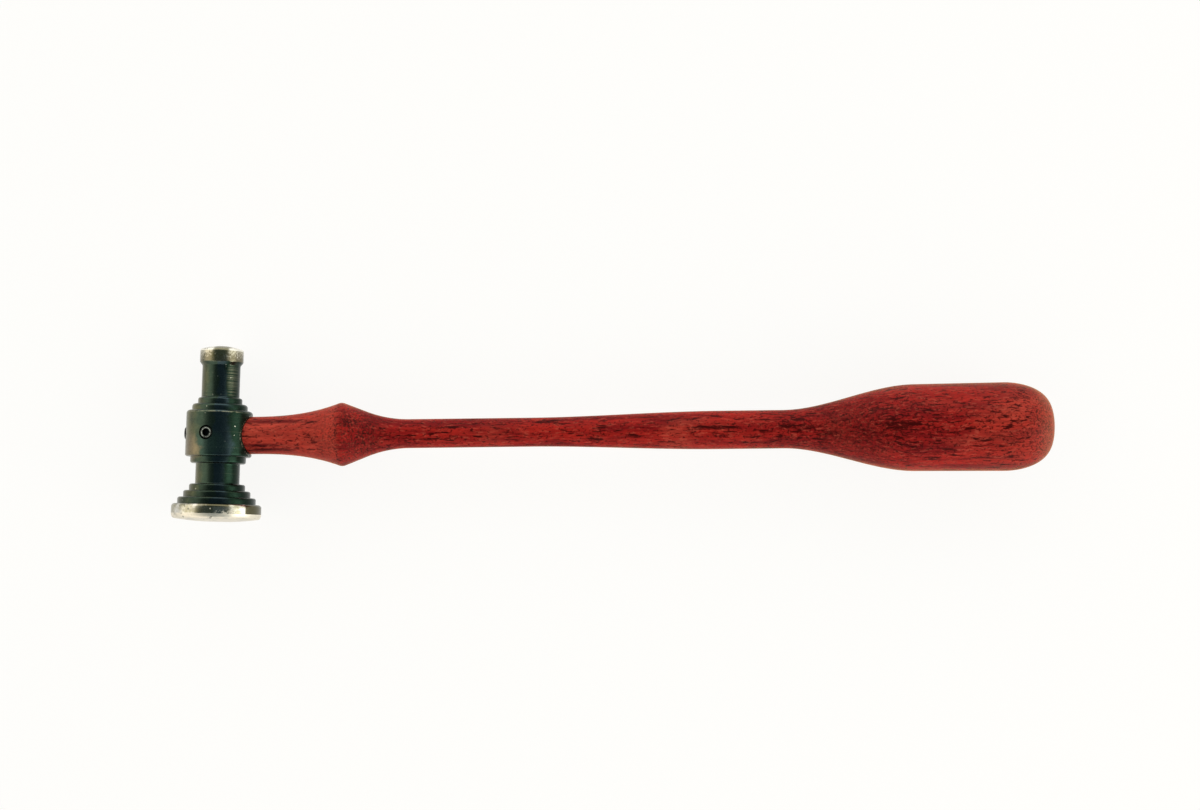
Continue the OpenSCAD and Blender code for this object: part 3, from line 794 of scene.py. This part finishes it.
# Dark veins of heartwood on the upper side, in millimetres: middle along the handle and across
# it toward the peen, half length and half width.
STEM_VEINS = ((17, 3.7, 11, 0.8), (13, -3.1, 9, 0.6), (15, -4.3, 10, 0.6))
HEART_VEINS = ((37.6, 3.3, 2.6, 2.4), (64, 1.4, 9, 0.5), (62, -1.9, 8, 0.45),
               (72.7, 0.6, 0.6, 0.5), (95, 2.9, 4.5, 0.7), (107.5, -2.3, 3, 1.3), (119, -1.7, 3, 0.7),
               (144, -2.0, 4, 0.7), (142, 0.4, 9, 0.8), (152.5, -2.2, 2.5, 0.7), (156.5, -0.8, 3, 0.7),
               (166, 0.3, 8.5, 1.0), (175, -1.7, 2.5, 0.8), (193, 0.3, 6, 2.2))
HEART_REGION = ((182, 0, 36, 13), (44, 0, 10, 8))
padauk, tree, shader = material("padauk")
here = own_place(tree, handle_place)
toward_peen, upward, down_handle = [math(tree, "DIVIDE", part, MM) for part in
                                    node(tree, "ShaderNodeSeparateXYZ", [(0, here)]).outputs]
up_side = stepped(tree, upward, 0.0, 2.0)
heart = math(tree, "MULTIPLY", close_to(tree, down_handle, toward_peen, HEART_VEINS), up_side)
stem_vein = math(tree, "MULTIPLY", close_to(tree, down_handle, toward_peen, STEM_VEINS), up_side)
deep_share = close_to(tree, down_handle, toward_peen, HEART_REGION)
crest = math(tree, "SUBTRACT", 1.0, math(tree, "ABSOLUTE", math(tree, "SUBTRACT", down_handle, RIDGE_AT - 0.6)), clamp=True)
near_butt = stepped(tree, down_handle, palm_at + 8, butt_at + 6)
more_pores = math(tree, "ADD", math(tree, "MULTIPLY", deep_share, 0.45), math(tree, "MULTIPLY", crest, 0.4))
more_pores = math(tree, "ADD", more_pores, math(tree, "MULTIPLY", near_butt, 0.25))
plain = math(tree, "SUBTRACT", 1.0, stepped(tree, down_handle, RIDGE_AT - 13, RIDGE_AT - 5))
plain = math(tree, "ADD", plain, close_to(tree, down_handle, toward_peen, [(shaft_at + 40, 0, 45, 40)]))
more_pores = math(tree, "SUBTRACT", more_pores, math(tree, "MULTIPLY", plain, 0.7))
more_pores = math(tree, "MAXIMUM", heart, math(tree, "ADD", more_pores, math(tree, "MULTIPLY", stem_vein, 0.9)))
facing = node(tree, "ShaderNodeNewGeometry").outputs["Normal"]
end_on = node(tree, "ShaderNodeVectorMath", [(0, facing), (1, handle_way)], operation="DOT_PRODUCT").outputs["Value"]
end_on = stepped(tree, math(tree, "ABSOLUTE", end_on), 0.15, 0.38)
wood = use(tree, grain, [("Vector", here), ("Heart", more_pores), ("End grain", math(tree, "MULTIPLY", end_on, 0.8))])
colour = blended(tree, stepped(tree, wood.outputs["Bands"], 0.34, 0.62), RED_DEEP, RED_MIDDLE)
# Lighter in clouds and toward both ends, where the wood has lost colour; near the head this is also painted light, on
# the flare that faces the light on the left.
near_head = math(tree, "SUBTRACT", 1.0, stepped(tree, down_handle, RIDGE_AT - 2, RIDGE_AT + 1))
faded_and_painted_light = math(tree, "ADD", math(tree, "MULTIPLY", stepped(tree, wood.outputs["Clouds"], 0.48, 0.72), 0.45),
             math(tree, "ADD", math(tree, "MULTIPLY", near_head, 0.45), math(tree, "MULTIPLY", near_butt, 0.25)))
colour = blended(tree, faded_and_painted_light, colour, RED_LIGHT)
colour = blended(tree, math(tree, "MULTIPLY", deep_share, 0.6), colour, RED_DEEP)
colour = blended(tree, stem_vein, colour, VEIN_RED)
colour = blended(tree, math(tree, "MULTIPLY", heart, 0.3), colour, PORE_DARK)
colour = blended(tree, math(tree, "MULTIPLY", wood.outputs["Flecks"], 0.3), colour, FLECK_PALE)
cut_flecks = stepped(tree, noise(tree, here, 1900.0, 2.0, 0.6), 0.48, 0.66)
colour = blended(tree, math(tree, "MULTIPLY", math(tree, "MULTIPLY", cut_flecks, end_on), 0.5), colour, FLECK_PALE)
colour = blended(tree, math(tree, "MULTIPLY", wood.outputs["Pores"], 0.95), colour, PORE_DARK)
# Tan on the butt's end: a little wear, and painted sheen standing for the grazing sheen round its rim.
butt_wear_and_painted_sheen = math(tree, "MULTIPLY", stepped(tree, down_handle, butt_at + 6, butt_at + 13.5), wood.outputs["Clouds"])
colour = blended(tree, butt_wear_and_painted_sheen, colour, TAN_WEAR_AND_PAINTED_SHEEN)
fibre_tone = node(tree, "ShaderNodeHueSaturation", [("Color", colour)])
cut_fibres = numbers_blended(tree, end_on, wood.outputs["Fibres"], noise(tree, here, 2300.0, 2.0, 0.7))
tone = math(tree, "MULTIPLY", math(tree, "SUBTRACT", cut_fibres, 0.5),
            math(tree, "ADD", 1.0, math(tree, "MULTIPLY", end_on, 0.9)))
tree.links.new(math(tree, "ADD", 1.0, tone), fibre_tone.inputs["Value"])
tree.links.new(fibre_tone.outputs[0], shader.inputs["Base Color"])
tree.links.new(math(tree, "ADD", 0.36, math(tree, "MULTIPLY", wood.outputs["Fibres"], 0.16)), shader.inputs["Roughness"])
shader.inputs["Specular IOR Level"].default_value = 0.05
shader.inputs["Sheen Weight"].default_value = 0.6
shader.inputs["Sheen Roughness"].default_value = 0.22
shader.inputs["Sheen Tint"].default_value = SHEEN_TAN
wood_height = math(tree, "SUBTRACT", math(tree, "MULTIPLY", wood.outputs["Fibres"], 0.35), wood.outputs["Pores"])
wood_bump = node(tree, "ShaderNodeBump", [("Strength", 0.3), ("Distance", 0.00012), ("Height", wood_height)])
tree.links.new(wood_bump.outputs[0], shader.inputs["Normal"])
handle.data.materials.clear()
handle.data.materials.append(padauk)
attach(handle, "root")
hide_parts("handle")

# A plain white table to lie on, wide enough to run out of every view.
FLOOR_HALF = 6.0
floor_mesh = bpy.data.meshes.new("table")
floor_mesh.from_pydata([(-FLOOR_HALF, -FLOOR_HALF, 0), (FLOOR_HALF, -FLOOR_HALF, 0),
                        (FLOOR_HALF, FLOOR_HALF, 0), (-FLOOR_HALF, FLOOR_HALF, 0)], [], [(0, 1, 2, 3)])
floor = bpy.data.objects.new("table", floor_mesh)
floor.location.z = cad_box[0][2] - 0.00001
bpy.context.scene.collection.objects.link(floor)
white, tree, shader = material("table_white")
shader.inputs["Base Color"].default_value = (0.96, 0.96, 0.955, 1)
shader.inputs["Roughness"].default_value = 0.9
shader.inputs["Specular IOR Level"].default_value = 0.1
# Seen straight or in a reflection, the table is mostly plain white, with the shadow left faint.
TABLE_GLOW = 0.9
TABLE_WARM = (1.0, 0.993, 0.975, 1)
rays = node(tree, "ShaderNodeLightPath")
seen = math(tree, "MAXIMUM", rays.outputs["Is Camera Ray"], rays.outputs["Is Glossy Ray"])
seen = math(tree, "MAXIMUM", seen, rays.outputs["Is Transmission Ray"])
plain = node(tree, "ShaderNodeEmission", [("Color", TABLE_WARM), ("Strength", 1.0)])
table_mix = node(tree, "ShaderNodeMixShader", [(0, math(tree, "MULTIPLY", seen, TABLE_GLOW)),
                                               (1, shader.outputs[0]), (2, plain.outputs[0])])
tree.links.new(table_mix.outputs[0], tree.nodes["Material Output"].inputs["Surface"])
floor.data.materials.append(white)

# Soft studio light: a pale tent, bright and a little warm on the left, dimmer on the right, open
# and dark overhead, and one long panel above on the right.
world = bpy.data.worlds.new("tent")
bpy.context.scene.world = world
world.use_nodes = True
tree = world.node_tree
sky = tree.nodes["Background"]
way = node(tree, "ShaderNodeTexCoord").outputs["Generated"]
side, back, rise = node(tree, "ShaderNodeSeparateXYZ", [(0, way)]).outputs
TENT_LEFT = (1.95, 1.84, 1.60, 1)
TENT_RIGHT = (1.55, 1.54, 1.38, 1)
TENT_BACK = (2.25, 2.18, 2.02, 1)
TENT_FRONT = (1.75, 1.69, 1.56, 1)
OPENING_DARK = (0.11, 0.16, 0.18, 1)
OPENING_MIDDLE = 0.05
OPENING_HALF_WIDTH = 0.65
OPENING_HALF_LENGTH = 0.8
HORIZON = 0.05
level = math(tree, "MAXIMUM", rise, HORIZON)
across = math(tree, "SUBTRACT", math(tree, "DIVIDE", side, level), OPENING_MIDDLE)
across = math(tree, "DIVIDE", across, OPENING_HALF_WIDTH)
lengthwise = math(tree, "DIVIDE", math(tree, "DIVIDE", back, level), OPENING_HALF_LENGTH)
out_from_opening = math(tree, "SQRT", math(tree, "ADD", math(tree, "POWER", across, 2), math(tree, "POWER", lengthwise, 2)))
walls = blended(tree, stepped(tree, side, -0.45, 0.35), TENT_LEFT, TENT_RIGHT)
ends = blended(tree, stepped(tree, back, -0.3, 0.3), TENT_FRONT, TENT_BACK)
walls = blended(tree, stepped(tree, math(tree, "ABSOLUTE", back), 0.3, 0.7), walls, ends)
tree.links.new(blended(tree, stepped(tree, out_from_opening, 0.9, 2.3), OPENING_DARK, walls), sky.inputs["Color"])
sky.inputs["Strength"].default_value = 1.0


def panel(name, place, aim, width, height, power, colour):
    light = bpy.data.lights.new(name, "AREA")
    light.shape = "RECTANGLE"
    light.size = width
    light.size_y = height
    light.energy = power
    light.color = colour
    lamp = bpy.data.objects.new(name, light)
    lamp.location = place
    lamp.rotation_euler = (Vector(aim) - Vector(place)).to_track_quat("-Z", "Y").to_euler()
    bpy.context.scene.collection.objects.link(lamp)


panel("panel_right", (1.03, -0.29, 0.37), (-0.11, -0.02, 0), 0.55, 0.69, 4.7, (1.0, 1.0, 0.97))

# The camera looks straight down from about 0.6 m, a touch off square, as the picture was taken.
VIEW_LENS = 61.5
VIEW_TILT_X = 3.278
VIEW_TILT_Y = 0.645
VIEW_ROLL = 0.723
VIEW_FROM_EYE = Vector((109.132, 8.853, 587.243)) * MM
view_turn = (Matrix.Rotation(radians(VIEW_ROLL), 3, "Z") @ Matrix.Rotation(radians(VIEW_TILT_Y), 3, "Y")
             @ Matrix.Rotation(radians(VIEW_TILT_X), 3, "X")).transposed()
camera_data = bpy.data.cameras.new("view")
camera_data.lens = VIEW_LENS
camera_data.sensor_width = 36.0
camera_data.clip_start = 0.01
camera = bpy.data.objects.new("view", camera_data)
camera.matrix_world = Matrix.Translation(eye_middle + view_turn @ VIEW_FROM_EYE) @ view_turn.to_4x4()
bpy.context.scene.collection.objects.link(camera)
bpy.context.scene.camera = camera
bpy.context.scene.view_settings.view_transform = "Standard"
